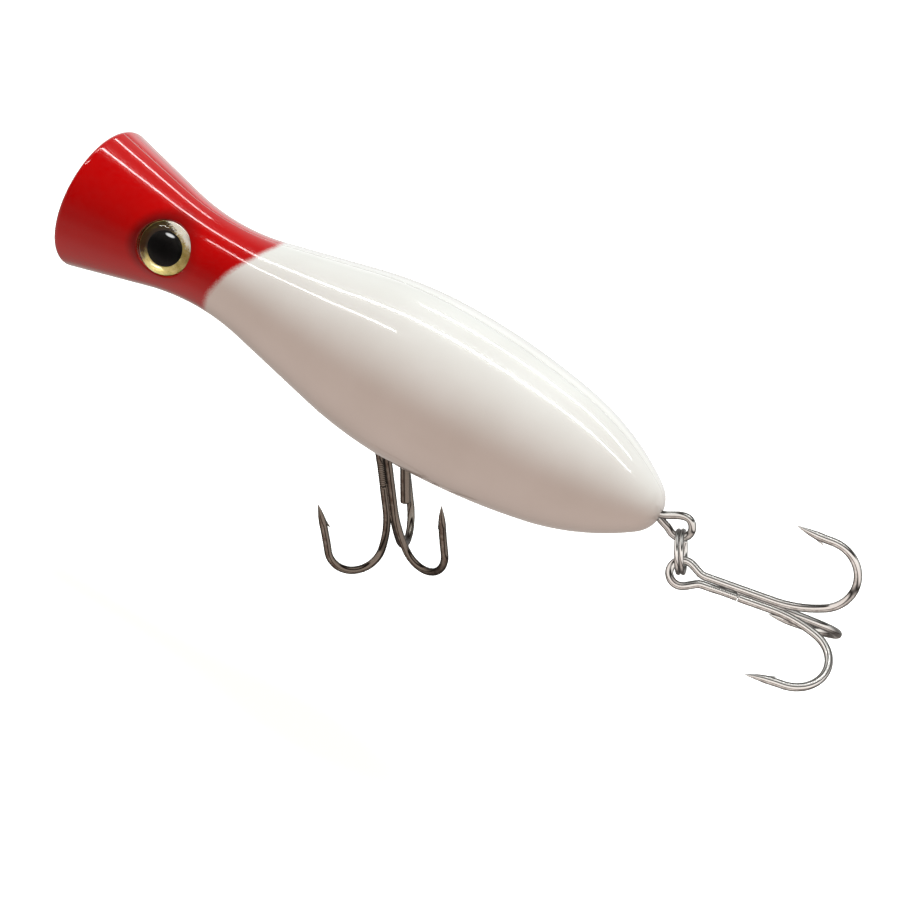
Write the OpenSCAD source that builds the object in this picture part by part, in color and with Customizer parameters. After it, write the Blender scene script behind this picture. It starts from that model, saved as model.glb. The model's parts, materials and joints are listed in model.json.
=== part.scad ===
// Topwater popper: a hollow two-shell surface lure with a cupped mouth, screw eyes,
// two split rings and two treble hooks.
//
// Frame: millimetres, +X from the mouth to the tail along the body axis, +Z the back,
// -Y the left side. The origin is the centre of the nose eye, in the plane of the mouth rim.

/* [Body] */
// Length of the body from the mouth rim to the tail tip
body_len = 105; // [104:0.5:107]
// Largest diameter of the body
belly_d = 26.8; // [26.4:0.2:27.6]
// Place of the largest diameter, measured from the mouth rim
belly_x = 63.5; // [62.5:0.5:64.5]
// Diameter of the neck
neck_d = 14.8; // [14.4:0.2:15.4]
// Place of the neck, measured from the mouth rim
neck_x = 24; // [23:0.5:25]
// Radius of the hollow arc at the neck
neck_arc = 40; // [34:1:46]
// Angle of the flare in front of the neck
flare_angle = 13.9; // [12.5:0.1:14.5]
// Angle of the straight rise behind the neck
rise_angle = 12.4; // [12:0.1:12.8]
// Radius of the arc over the rear of the body
tail_arc = 42; // [40:1:44]
// Radius of the rounded tail tip
tip_r = 5; // [4.5:0.1:5.4]
// Wall of the two shells
wall = 1.6; // [1.4:0.1:2]

/* [Mouth] */
// Radius of the rounded lip round the mouth
lip_r = 0.9; // [0.7:0.1:1.1]
// Depth of the mouth cup
cup_depth = 7; // [6:0.5:8]

/* [Eyes] */
// Diameter of an eye
eye_d = 8.6; // [8:0.2:9]
// Diameter of a pupil
pupil_d = 5.2; // [4.6:0.2:5.6]
// Distance of the eyes behind the mouth rim
eye_x = 17.5; // [16.5:0.1:18]
// Angle of the eyes above the middle of the side
eye_angle = 10; // [6:1:12]
// Height of the domed lens over the skin
eye_stand = 0.7; // [0.5:0.1:0.9]

/* [Wire parts] */
// Wire of the screw eyes
wire_d = 1.2; // [1.1:0.05:1.25]
// Inside diameter of the loop of a screw eye
loop_id = 2.7; // [2.6:0.05:2.8]
// Outside diameter of a split ring
ring_od = 7; // [6.9:0.1:7.2]
// Wire of a split ring, which is wound twice
ring_wire = 0.7; // [0.65:0.05:0.75]
// Wire of a treble hook
hook_wire = 1.25; // [1.15:0.05:1.3]

/* [Tail hook] */
// Straight length of the shank behind the hook eye
tail_shank = 14; // [12.5:0.5:15]
// Distance from the shank axis to a point
tail_gap = 12.8; // [12.4:0.1:13.4]
// Length of a point in front of the bend
tail_point = 5.5; // [5:0.5:7]

/* [Belly hook] */
// Straight length of the shank behind the hook eye
belly_shank = 13; // [12:0.1:13.5]
// Distance from the shank axis to a point
belly_gap = 11; // [10.8:0.1:11.6]
// Length of a point in front of the bend
belly_point = 8.5; // [6:0.5:9]

/* [Rest pose] */
// Swing of the belly split ring to the right side
belly_ring_rest = 11; // [0:1:20]
// Swing of the belly treble towards the tail
belly_hook_rest = 23; // [0:1:25]
// Direction of the tail split ring below the body axis
tail_ring_rest = 65; // [55:1:68]
// Roll of the tail split ring about its own length
tail_ring_roll = -15; // [-20:1:0]
// Slip of the tail treble round its ring
tail_hook_slip = -10; // [-15:1:15]
// Fold between the tail split ring and the tail treble
tail_hook_fold = 71; // [50:1:72]
// Roll of the belly treble about its shank
belly_hook_roll = -17; // [-25:1:0]
// Roll of the tail treble about its shank
tail_hook_roll = -17; // [-25:1:0]

/* [Hidden] */

$fn = 72;
arc_fn = 240;   // facets of the long arcs of the body outline
slit = 0.02;    // gap that keeps touching pieces from sharing a face
fit = 0.05;     // radial play of a wire in its loop
weld = 0.005;   // height by which neighbouring pieces of the outline stand into each other
lap = 2;        // length over which they run on inside each other

// --- Body outline: arcs and straight lines that meet without a corner ---
belly_r = belly_d / 2;
neck_r = neck_d / 2;
neck_cr = neck_r + neck_arc;
belly_arc = ((belly_x - neck_x) * tan(rise_angle) - (belly_r - neck_r)) / (1 / cos(rise_angle) - 1)
    - neck_arc;

// The back arc ends at back_angle, where the tail arc takes over and runs into the tip
back_angle = 11.5;
tip_cx = body_len - tip_r;
back_a = 2 * (1 - cos(back_angle));
back_b = (tip_cx - belly_x) * sin(back_angle) + (belly_r - tail_arc) * (1 - cos(back_angle));
back_c = pow(tip_cx - belly_x, 2) + pow(belly_r - tail_arc, 2) - pow(tail_arc - tip_r, 2);
arc_step = (back_b - sqrt(back_b * back_b - back_a * back_c)) / back_a;
back_arc = tail_arc + arc_step;
tail_cx = belly_x + arc_step * sin(back_angle);
tail_cr = belly_r - tail_arc - arc_step * (1 - cos(back_angle));
tail_angle = asin((tip_cx - tail_cx) / (tail_arc - tip_r));

// Radius of the straight flare at x, moved inwards by inset
function flare_r(x, inset) =
    neck_cr - (neck_arc + inset) / cos(flare_angle) + (neck_x - x) * tan(flare_angle);
// Radius of the straight rise at x, moved inwards by inset
function rise_r(x, inset) =
    neck_cr - (neck_arc + inset) / cos(rise_angle) + (x - neck_x) * tan(rise_angle);

lip_cr = flare_r(lip_r, lip_r);
lip_end = lip_r * (1 + sin(flare_angle));
cup_r = (pow(cup_depth - lip_r, 2) + lip_cr * lip_cr - lip_r * lip_r) / (2 * cup_depth);
cup_cx = cup_depth - cup_r;

// --- Screw eyes ---
loop_r = (loop_id + wire_d) / 2;
loop_out = loop_r + wire_d / 2;
boss_r = 3.2;
nose_shank_end = 20;
belly_eye_x = 58.8;
belly_wire_z = -7;
belly_loop_z = belly_wire_z + loop_r;
belly_shank_end = 5;
tail_loop_x = body_len + 3.35;
tail_shank_end = 90;

// --- Belly recess round the belly eye ---
recess_r = 4.7;
recess_top = belly_loop_z + loop_out + 0.6;

// --- Bent wire stub behind the belly treble ---
stub_d = 1.65;
stub_x = 64.8;
stub_top = -8.2;
stub_bend_z = -13.7;
stub_bend_r = 3;
stub_lean = 22;
stub_reach = 5.6;    // straight length behind the bend

// --- Split rings and hook eyes ---
ring_mean = (ring_od - ring_wire) / 2;
ring_hang = ring_mean - (wire_d + ring_wire) / 2 - fit;
tail_ring_reach = loop_id / 2 - ring_wire / 2 - fit + ring_mean;
hook_eye_id = 2.7;
hook_eye_r = (hook_eye_id + hook_wire) / 2;
hook_eye_drop = 0.2;
hook_eye_turn = 60;

// --- Treble hooks ---
// Azimuths of the three prongs: two of the pair and the single
pair_azimuths = [30, -90];
single_azimuth = 150;
hook_pitch = hook_wire + 2 * slit;
bundle_r = hook_pitch / sqrt(3);
wire_sides = 12;
shank_bend = 25;
bend_ratio = 1.27;    // radius of the first bend against the straight length of the shank
taper_len = 3.6;
twist_start = 4.6;    // stretch of the shank in which the pair's second wire turns to the back
twist_end = 8.2;
single_start = 9;     // cut end of the single hook's shank
belly_hook = [belly_shank, belly_gap, belly_point];
tail_hook = [tail_shank, tail_gap, tail_point];

// --- Inside of the shells ---
cavity_x = 10;
rib_t = 1.4;
rib_x = [26.5, 40, 50, 66, 86];
tube_wall = 1.1;
ball_play = 0.1;
front_ball_d = 5;
rear_ball_d = 8;
rear_tube_z = 4.4;
ballast_d = 7;
belly_ballast_z = -3.6;
tail_ballast_z = -5;
tail_ballast_len = 12;
front_tube = [rib_x[0] + rib_t, rib_x[1]];
belly_bay = [rib_x[1] + rib_t, rib_x[2]];
rear_tube = [rib_x[3] + rib_t, rib_x[4]];

// --- Pins that line the shells up ---
pin_d = 2;
pin_len = 2.4;
pin_play = 0.05;
pin_boss_r = 2.2;
pins = [[18, 4.2], [44, 5.6], [58, 8], [83, -6.2], [96, 4.4]];

// --- Eyes ---
eye_floor = 1.5;
foil_t = 0.3;
eye_tilt = asin((neck_x - eye_x) / neck_arc);
eye_skin_r = neck_cr - neck_arc * cos(eye_tilt);
lens_base = eye_floor - foil_t - slit;
lens_h = lens_base + eye_stand;
lens_rim_r = eye_d / 2;
lens_arc = (lens_rim_r * lens_rim_r + lens_h * lens_h) / (2 * lens_h);

// Cylinder along X between two places
module rod_x(x0, x1, r) {
    translate([x0, 0, 0])
        rotate([0, 90, 0])
            cylinder(r = r, h = x1 - x0);
}

// Turns an outline drawn as [radius, x] about the body axis
module turn() {
    rotate([0, 90, 0])
        rotate_extrude($fn = 144)
            children();
}

// Band of the outline plane between two places on the axis
module band(x0, x1) {
    polygon([[0, x0], [belly_r + 2, x0], [belly_r + 2, x1], [0, x1]]);
}

// Outline behind the lip, moved inwards by inset. At each joint one piece stands a little
// into the next, so that they cross instead of only touching.
module outline(x0, inset) {
    flare_end = neck_x - (neck_arc + inset) * sin(flare_angle);
    neck_end = neck_x + (neck_arc + inset) * sin(rise_angle);
    belly_start = belly_x - (belly_arc - inset) * sin(rise_angle);
    back_end = belly_x + (back_arc - inset) * sin(back_angle);
    tail_end = tail_cx + (tail_arc - inset) * sin(tail_angle);
    outline_line(x0, flare_r(x0, inset) - weld, flare_end + lap, flare_r(flare_end + lap, inset) + weld);
    difference() {
        band(flare_end, neck_end);
        translate([neck_cr, neck_x])
            circle(neck_arc + inset, $fn = arc_fn);
    }
    outline_line(neck_end - lap, rise_r(neck_end - lap, inset) + weld,
        belly_start, rise_r(belly_start, inset) - weld);
    outline_arc(belly_start - lap, belly_x, belly_r - belly_arc, belly_x, belly_arc - inset);
    outline_arc(belly_x, back_end, belly_r - back_arc, belly_x, back_arc - inset);
    outline_arc(back_end - lap, tail_end, tail_cr, tail_cx, tail_arc - inset + weld);
    outline_arc(tail_end - lap, body_len + 1, 0, tip_cx, tip_r - inset + 2 * weld);
}

// Part of the outline under a straight line
module outline_line(x0, r0, x1, r1) {
    polygon([[0, x0], [r0, x0], [r1, x1], [0, x1]]);
}

// Part of the outline under an arc about [cr, cx]
module outline_arc(x0, x1, cr, cx, r) {
    intersection() {
        band(x0, x1);
        translate([cr, cx])
            circle(r, $fn = arc_fn);
    }
}

// Rounded lip in front of the flare
module lip_outline() {
    polygon([
        [0, 0], [lip_cr, 0], [lip_cr, lip_r], [flare_r(lip_end, 0) - weld, lip_end], [0, lip_end]
    ]);
    translate([lip_cr, lip_r])
        circle(lip_r);
}

// Bowl of the mouth, running into the lip without a corner
module mouth_outline() {
    difference() {
        intersection() {
            union() {
                translate([0, cup_cx])
                    circle(cup_r + weld, $fn = arc_fn);
                polygon([[0, cup_cx], [lip_cr, lip_r], [lip_cr, cup_cx]]);
            }
            translate([0, cup_cx])
                square([lip_cr, cup_r + 1]);
        }
        translate([lip_cr, lip_r])
            circle(lip_r);
    }
}

// Everything that stands inside the shells: ribs, bosses and tubes
module inner_structure() {
    for (x = rib_x)
        rod_x(x, x + rib_t, belly_r);
    rod_x(cavity_x - 1, nose_shank_end + 1.5, boss_r);
    rod_x(tail_shank_end - 2, body_len, boss_r);
    translate([belly_eye_x, 0, -belly_r])
        cylinder(r = recess_r + wall, h = recess_top + belly_r + wall);
    translate([belly_eye_x, 0, recess_top])
        cylinder(r = boss_r, h = belly_shank_end - recess_top + 1.5);
    translate([stub_x, 0, -belly_r])
        cylinder(r = pin_boss_r, h = belly_r + stub_top + wall);
    rod_x(front_tube[0], front_tube[1], front_ball_d / 2 + ball_play + tube_wall);
    translate([0, 0, rear_tube_z])
        rod_x(rear_tube[0], rear_tube[1], rear_ball_d / 2 + ball_play + tube_wall);
    translate([0, 0, belly_ballast_z])
        rod_x(belly_bay[0], belly_bay[1], ballast_d / 2 + tube_wall);
    translate([0, 0, tail_ballast_z])
        rod_x(rear_tube[0], rear_tube[0] + tail_ballast_len + rib_t, ballast_d / 2 + tube_wall);
    for (p = pins)
        translate([p[0], 0, p[1]])
            rotate([90, 0, 0])
                cylinder(r = pin_boss_r, h = 2 * belly_r, center = true);
}

// Bores for the screw eyes, the balls, the ballast and the recess round the belly eye
module inner_bores() {
    rod_x(cup_depth - 1, nose_shank_end + slit, wire_d / 2 + slit);
    rod_x(tail_shank_end - slit, body_len + 1, wire_d / 2 + slit);
    translate([belly_eye_x, 0, recess_top - 1])
        cylinder(r = wire_d / 2 + slit, h = belly_shank_end - recess_top + 1 + slit);
    translate([belly_eye_x, 0, -belly_r - 1])
        cylinder(r = recess_r, h = recess_top + belly_r + 1);
    translate([stub_x, 0, -belly_r - 1])
        cylinder(r = stub_d / 2 + slit, h = belly_r + 1 + stub_top + slit);
    rod_x(front_tube[0], front_tube[1], front_ball_d / 2 + ball_play);
    translate([0, 0, rear_tube_z])
        rod_x(rear_tube[0], rear_tube[1], rear_ball_d / 2 + ball_play);
    translate([0, 0, belly_ballast_z])
        rod_x(belly_bay[0], belly_bay[1], ballast_d / 2 + slit);
    translate([0, 0, tail_ballast_z])
        rod_x(rear_tube[0], rear_tube[0] + tail_ballast_len + 2 * slit, ballast_d / 2 + slit);
}

// Places its children at the left eye, with +Z standing out of the skin
module at_eye() {
    rotate([-eye_angle, 0, 0])
        translate([eye_x, -eye_skin_r, 0])
            rotate([0, 0, eye_tilt])
                rotate([90, 0, 0])
                    children();
}

// The left half of the hollow body
module half_shell() {
    difference() {
        turn()
            union() {
                outline(lip_end, 0);
                lip_outline();
            }
        turn()
            mouth_outline();
        difference() {
            turn()
                intersection() {
                    outline(cavity_x, wall);
                    band(cavity_x, body_len);
                }
            inner_structure();
        }
        inner_bores();
        at_eye()
            translate([0, 0, -eye_floor])
                cylinder(r = eye_d / 2 + 0.12, h = eye_floor + 2);
        translate([-1, 0, -belly_d])
            cube([body_len + 2, belly_d, 2 * belly_d]);
    }
}

module left_shell() {
    color("white")
        difference() {
            half_shell();
            for (p = pins)
                translate([p[0], 1, p[1]])
                    rotate([90, 0, 0])
                        cylinder(r = pin_d / 2 + pin_play, h = pin_len + 1 + 0.2);
        }
}

module right_shell() {
    color("white") {
        mirror([0, 1, 0])
            half_shell();
        for (p = pins)
            translate([p[0], 0.5, p[1]])
                rotate([90, 0, 0])
                    cylinder(r = pin_d / 2, h = pin_len + 0.5);
    }
}

// Screw eye: a closed loop at the origin in the XZ plane, its shank along +X
module screw_eye(shank_len) {
    rotate([90, 0, 0])
        rotate_extrude()
            translate([loop_r, 0])
                circle(d = wire_d, $fn = 32);
    spike(loop_r, shank_len, wire_d, wire_d / 2, 0.1);
}

module nose_eye() {
    color("silver")
        screw_eye(nose_shank_end);
}

module belly_eye() {
    color("silver")
        translate([belly_eye_x, 0, belly_loop_z])
            rotate([0, -90, 0])
                screw_eye(belly_shank_end - belly_loop_z);
}

module tail_eye() {
    color("silver")
        translate([tail_loop_x, 0, 0])
            rotate([0, 0, 180])
                screw_eye(tail_loop_x - tail_shank_end);
}

// Split ring about the Z axis: two turns of wire lying on each other
module split_ring() {
    color("gainsboro")
        rotate_extrude()
            translate([ring_mean, 0])
                for (side = [-1, 1])
                    translate([0, side * (ring_wire / 2 - slit)])
                        circle(d = ring_wire, $fn = 32);
}

// Shaft along X from x0 to x1, with its end drawn out to a point over the length taper
module spike(x0, x1, taper, r, tip) {
    translate([x0, 0, 0])
        rotate([0, 90, 0])
            rotate_extrude($fn = 32)
                polygon([[0, 0], [r, 0], [r, x1 - x0 - taper], [tip, x1 - x0], [0, x1 - x0]]);
}

// Points of an arc about c, after its first point
function arc_points(c, r, a0, sweep, steps) = [
    for (i = [1:steps]) c + r * [cos(a0 + sweep * i / steps), sin(a0 + sweep * i / steps)]
];

function reversed(list) = [for (i = [len(list) - 1:-1:0]) list[i]];

function unit(v) = v / norm(v);

// Path of a prong of a hook [shank, gap, point length], as [x, z, wire radius] from the end
// of the straight shank to the point. The shank runs along +X at z = 0, the prong bends to
// +Z and its point faces -X. The axis of the whole hook lies at z = -bundle_r.
function prong_path(hook) =
    let (
        bend_x = hook[0],
        arc_a = bend_ratio * bend_x,
        turn = [bend_x + arc_a * sin(shank_bend), arc_a * (1 - cos(shank_bend))],
        arc_b = (hook[1] - bundle_r - turn[1]) / (1 + cos(shank_bend)),
        centre = turn + arc_b * [-sin(shank_bend), cos(shank_bend)],
        taper_x = centre[0] - hook[2] + taper_len,
        bends = concat(
            [[bend_x, 0]],
            arc_points([bend_x, arc_a], arc_a, -90, shank_bend, 3),
            arc_points(centre, arc_b, shank_bend - 90, 180 - shank_bend, 14)
        )
    )
    concat(
        [for (p = bends) [p[0], p[1], hook_wire / 2]],
        [
            for (s = [0, 0.5, 0.8, 1])
                [taper_x - taper_len * s, centre[1] + arc_b, hook_wire / 2 * (1 - 0.9 * s * s)]
        ]
    );

// Places points of a prong's path at an azimuth about the hook axis
function at_azimuth(path, azimuth) = [
    for (p = path) [
        p[0],
        bundle_r / 2 - (bundle_r + p[1]) * sin(azimuth),
        (bundle_r + p[1]) * cos(azimuth),
        p[2]
    ]
];

// Round wire through [x, y, z, radius] points. The vector side is never along the wire.
module sweep(path, side) {
    last = len(path) - 1;
    points = [for (p = path) [p[0], p[1], p[2]]];
    rings = [
        for (i = [0:last])
            let (
                along = unit(points[min(i + 1, last)] - points[max(i - 1, 0)]),
                u = unit(cross(side, along)),
                v = cross(along, u)
            )
            for (j = [0:wire_sides - 1])
                points[i] + path[i][3]
                    * (u * cos(360 * j / wire_sides) + v * sin(360 * j / wire_sides))
    ];
    polyhedron(
        points = rings,
        faces = concat(
            [[for (j = [0:wire_sides - 1]) j]],
            [
                for (i = [0:last - 1], j = [0:wire_sides - 1])
                    let (a = i * wire_sides + j, b = i * wire_sides + (j + 1) % wire_sides)
                    each [[a, b + wire_sides, b], [a, a + wire_sides, b + wire_sides]]
            ],
            [[for (j = [0:wire_sides - 1]) (last + 1) * wire_sides - 1 - j]]
        )
    );
}

// Barb cut on the inner side of a prong, drawn in the plane of prong_path
module barb(hook) {
    path = prong_path(hook);
    foot = path[len(path) - 4];
    translate([foot[0], 0, foot[1] - 0.2])
        rotate([0, 115, 0])
            cylinder(r1 = 0.42, r2 = 0.05, h = 1.15, $fn = 24);
}

// Turns what is drawn in the plane of prong_path to an azimuth about the hook axis
module turn_prong(azimuth) {
    translate([0, bundle_r / 2, 0])
        rotate([azimuth, 0, 0])
            translate([0, 0, bundle_r])
                children();
}

// The double hook: one wire bent into the hook eye and two prongs. The hook eye lies in
// the XZ plane about the origin. The shank runs along +X. The second wire turns a sixth of
// the way round the first one, which leaves its place to the single hook.
module hook_pair(hook) {
    side = hook_pitch / 2;
    eye_end = hook_eye_r * [cos(hook_eye_turn), sin(hook_eye_turn)];
    kink_x = eye_end[0] + (eye_end[1] - side) * tan(hook_eye_turn);
    eye_arc = concat(
        [eye_end], arc_points([0, 0], hook_eye_r, hook_eye_turn, 360 - 2 * hook_eye_turn, 18)
    );
    twist = [
        for (i = [0:4])
            let (a = 15 * i - 90)
            [
                twist_start + (twist_end - twist_start) * i / 4,
                hook_pitch * cos(a), side + hook_pitch * sin(a), hook_wire / 2
            ]
    ];
    sweep(
        concat(
            reversed(at_azimuth(prong_path(hook), pair_azimuths[0])),
            [[kink_x, 0, side, hook_wire / 2]],
            [for (p = eye_arc) [p[0], 0, p[1], hook_wire / 2]],
            [[kink_x, 0, -side, hook_wire / 2]],
            twist,
            at_azimuth(prong_path(hook), pair_azimuths[1])
        ),
        [0, 1, 2]
    );
    for (azimuth = pair_azimuths)
        turn_prong(azimuth)
            barb(hook);
}

// The third hook, brazed into the groove of the pair
module hook_single(hook) {
    start = [[single_start, 0, hook_wire / 2]];
    sweep(at_azimuth(concat(start, prong_path(hook)), single_azimuth), [0, 1, 0]);
    turn_prong(single_azimuth)
        barb(hook);
}

// Stub of wire fixed in the belly: straight in the shell, then bent to the tail
module belly_stub() {
    bend = arc_points([stub_x + stub_bend_r, stub_bend_z], stub_bend_r, 180, stub_lean, 4);
    tip = bend[3] + stub_reach * [sin(stub_lean), -cos(stub_lean)];
    color("saddlebrown")
        sweep(
            [
                for (p = concat([[stub_x, stub_top], [stub_x, stub_bend_z]], bend, [tip]))
                    [p[0], 0, p[1], stub_d / 2]
            ],
            [0, 1, 0]
        );
}

// Belly ring frame: hangs at the lowest wire of the belly eye
module at_belly_ring() {
    translate([belly_eye_x, 0, belly_wire_z])
        rotate([belly_ring_rest, 0, 0])
            children();
}

// Belly hook frame: the far wire of the belly ring, with the shank along +X
module at_belly_hook() {
    at_belly_ring()
        translate([0, 0, -ring_hang - ring_mean])
            rotate([0, 90 - belly_hook_rest, 0])
                translate([hook_eye_drop, 0, 0])
                    rotate([belly_hook_roll, 0, 0])
                        children();
}

// Tail ring frame: about the middle of the tail eye, with the ring along +X
module at_tail_ring() {
    translate([tail_loop_x, 0, 0])
        rotate([0, tail_ring_rest, 0])
            rotate([tail_ring_roll, 0, 0])
                children();
}

// Tail hook frame: on the wire of the tail ring, with the shank along +X
module at_tail_hook() {
    at_tail_ring()
        translate([tail_ring_reach, 0, 0])
            rotate([0, 0, tail_hook_slip])
                translate([ring_mean, 0, 0])
                    rotate([0, -tail_hook_fold, 0])
                        translate([hook_eye_drop, 0, 0])
                            rotate([tail_hook_roll, 0, 0])
                                children();
}

module belly_split_ring() {
    at_belly_ring()
        translate([0, 0, -ring_hang])
            rotate([0, 90, 0])
                split_ring();
}

module belly_hook_pair() {
    color("dimgray")
        at_belly_hook()
            hook_pair(belly_hook);
}

module belly_hook_single() {
    color("dimgray")
        at_belly_hook()
            hook_single(belly_hook);
}

module tail_split_ring() {
    at_tail_ring()
        translate([tail_ring_reach, 0, 0])
            split_ring();
}

module tail_hook_pair() {
    color("silver")
        at_tail_hook()
            hook_pair(tail_hook);
}

module tail_hook_single() {
    color("silver")
        at_tail_hook()
            hook_single(tail_hook);
}

// Eye parts, seen from the skin outwards: foil iris, pupil and clear lens
module iris() {
    color("goldenrod")
        translate([0, 0, -eye_floor])
            difference() {
                cylinder(d = eye_d, h = foil_t);
                translate([0, 0, -1])
                    cylinder(d = pupil_d + 2 * slit, h = foil_t + 2);
            }
}

module pupil() {
    color("black")
        translate([0, 0, -eye_floor])
            cylinder(d = pupil_d, h = foil_t);
}

module lens() {
    color("lightyellow")
        intersection() {
            translate([0, 0, eye_stand - lens_arc])
                sphere(r = lens_arc);
            translate([0, 0, -lens_base])
                cylinder(d = eye_d, h = lens_h + 1);
        }
}

module left_iris() { at_eye() iris(); }

module left_pupil() { at_eye() pupil(); }

module left_lens() { at_eye() lens(); }

module right_iris() { mirror([0, 1, 0]) left_iris(); }

module right_pupil() { mirror([0, 1, 0]) left_pupil(); }

module right_lens() { mirror([0, 1, 0]) left_lens(); }

module front_rattle_ball() {
    color("silver")
        translate([(front_tube[0] + front_tube[1]) / 2, 0, 0])
            sphere(d = front_ball_d);
}

module rear_rattle_ball() {
    color("silver")
        translate([(rear_tube[0] + rear_tube[1]) / 2, 0, rear_tube_z])
            sphere(d = rear_ball_d);
}

module belly_ballast() {
    color("slategray")
        translate([0, 0, belly_ballast_z])
            rod_x(belly_bay[0] + slit, belly_bay[1] - slit, ballast_d / 2);
}

module tail_ballast() {
    color("slategray")
        translate([0, 0, tail_ballast_z])
            rod_x(rear_tube[0] + slit, rear_tube[0] + slit + tail_ballast_len, ballast_d / 2);
}

left_shell();
right_shell();
nose_eye();
belly_eye();
tail_eye();
left_iris();
left_pupil();
left_lens();
right_iris();
right_pupil();
right_lens();
front_rattle_ball();
rear_rattle_ball();
belly_ballast();
tail_ballast();
belly_stub();
belly_split_ring();
belly_hook_pair();
belly_hook_single();
tail_split_ring();
tail_hook_pair();
tail_hook_single();
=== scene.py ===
import json
import math

import bmesh
import bpy
import numpy as np
from mathutils import Matrix, Vector


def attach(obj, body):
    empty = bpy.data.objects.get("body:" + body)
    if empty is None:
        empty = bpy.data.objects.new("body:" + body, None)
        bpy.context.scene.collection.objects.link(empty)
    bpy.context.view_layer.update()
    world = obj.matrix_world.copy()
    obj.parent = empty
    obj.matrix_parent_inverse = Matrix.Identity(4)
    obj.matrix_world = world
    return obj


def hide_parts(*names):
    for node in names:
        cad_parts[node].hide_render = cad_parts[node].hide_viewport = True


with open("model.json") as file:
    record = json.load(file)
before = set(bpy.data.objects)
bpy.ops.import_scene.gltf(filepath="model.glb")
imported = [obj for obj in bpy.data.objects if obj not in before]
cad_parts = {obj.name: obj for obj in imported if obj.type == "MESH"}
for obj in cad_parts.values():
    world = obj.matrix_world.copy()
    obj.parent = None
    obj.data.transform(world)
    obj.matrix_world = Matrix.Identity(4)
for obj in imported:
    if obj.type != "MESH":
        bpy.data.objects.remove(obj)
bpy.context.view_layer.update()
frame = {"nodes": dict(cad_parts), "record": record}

# Looks of the topwater popper. Lengths in the code are millimetres, as in the CAD source,
# and meshes are written in metres in the same frame: +X mouth to tail, +Z the back, -Y the left.
MM = 0.001


def rad(degrees):
    return math.radians(degrees)


# ---------------------------------------------------------------- sizes, as in the CAD source
BODY_LEN = 105.0
BELLY_R = 13.4
BELLY_X = 63.5
NECK_X = 24.0
NECK_ARC = 40.0
NECK_CR = 7.4 + NECK_ARC
FLARE = rad(13.9)
RISE = rad(12.4)
TAIL_ARC = 42.0
TIP_R = 5.0
LIP_R = 0.9
CUP_DEPTH = 7.0
WIRE_D = 1.2
LOOP_R = 1.95
RING_MEAN = 3.15
RING_WIRE = 0.7
RING_HANG = RING_MEAN - (WIRE_D + RING_WIRE) / 2 - 0.05
TAIL_LOOP_X = BODY_LEN + 3.35
TAIL_RING_REACH = 0.95 + RING_MEAN
BELLY_EYE_X = 58.8
BELLY_WIRE_Z = -7.0
BELLY_LOOP_Z = BELLY_WIRE_Z + LOOP_R
RECESS_R = 4.7
RECESS_TOP = BELLY_LOOP_Z + LOOP_R + WIRE_D / 2 + 0.6
HOOK_WIRE = 1.25
HOOK_PITCH = 1.29
BUNDLE_R = HOOK_PITCH / math.sqrt(3)
HOOK_EYE_R = 1.975
HOOK_DROP = 0.2
BELLY_RING_REST = 11
STUB_R = 0.825
STUB_X = 64.8
STUB_TOP = -8.2
STUB_BEND_Z = -13.7
STUB_BEND_R = 3.0
STUB_LEAN = rad(22)
STUB_REACH = 5.6
EYE_X = 17.5
EYE_ANGLE = rad(10)
EYE_TILT = math.asin((NECK_X - EYE_X) / NECK_ARC)
EYE_SKIN_R = NECK_CR - NECK_ARC * math.cos(EYE_TILT)
EYE_R = 4.3
PUPIL_R = 2.6
EYE_FLOOR = 1.5
EYE_STAND = 0.7

# Arc radii that make the outline run on without a corner
RISE_R = NECK_CR - 7.4
BELLY_ARC = ((BELLY_X - NECK_X) * math.tan(RISE) - (BELLY_R - 7.4)) / (1 / math.cos(RISE) - 1) - NECK_ARC
BACK_ANGLE = rad(11.5)
TIP_CX = BODY_LEN - TIP_R
_a = 2 * (1 - math.cos(BACK_ANGLE))
_b = (TIP_CX - BELLY_X) * math.sin(BACK_ANGLE) + (BELLY_R - TAIL_ARC) * (1 - math.cos(BACK_ANGLE))
_c = (TIP_CX - BELLY_X) ** 2 + (BELLY_R - TAIL_ARC) ** 2 - (TAIL_ARC - TIP_R) ** 2
_step = (_b - math.sqrt(_b * _b - _a * _c)) / _a
BACK_ARC = TAIL_ARC + _step
TAIL_CX = BELLY_X + _step * math.sin(BACK_ANGLE)
TAIL_CR = BELLY_R - TAIL_ARC - _step * (1 - math.cos(BACK_ANGLE))
TAIL_ANGLE = math.asin((TIP_CX - TAIL_CX) / (TAIL_ARC - TIP_R))


def flare_r(x, inset=0.0):
    return NECK_CR - (NECK_ARC + inset) / math.cos(FLARE) + (NECK_X - x) * math.tan(FLARE)


LIP_CR = flare_r(LIP_R, LIP_R)
CUP_R = ((CUP_DEPTH - LIP_R) ** 2 + LIP_CR ** 2 - LIP_R ** 2) / (2 * CUP_DEPTH)
CUP_CX = CUP_DEPTH - CUP_R


def arc(cx, cr, r, a0, a1, n=200):
    """Points [x, r] of an arc. Angles run from the +r direction towards +x."""
    a = np.linspace(a0, a1, n)
    return np.column_stack([cx + r * np.sin(a), cr + r * np.cos(a)])


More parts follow.
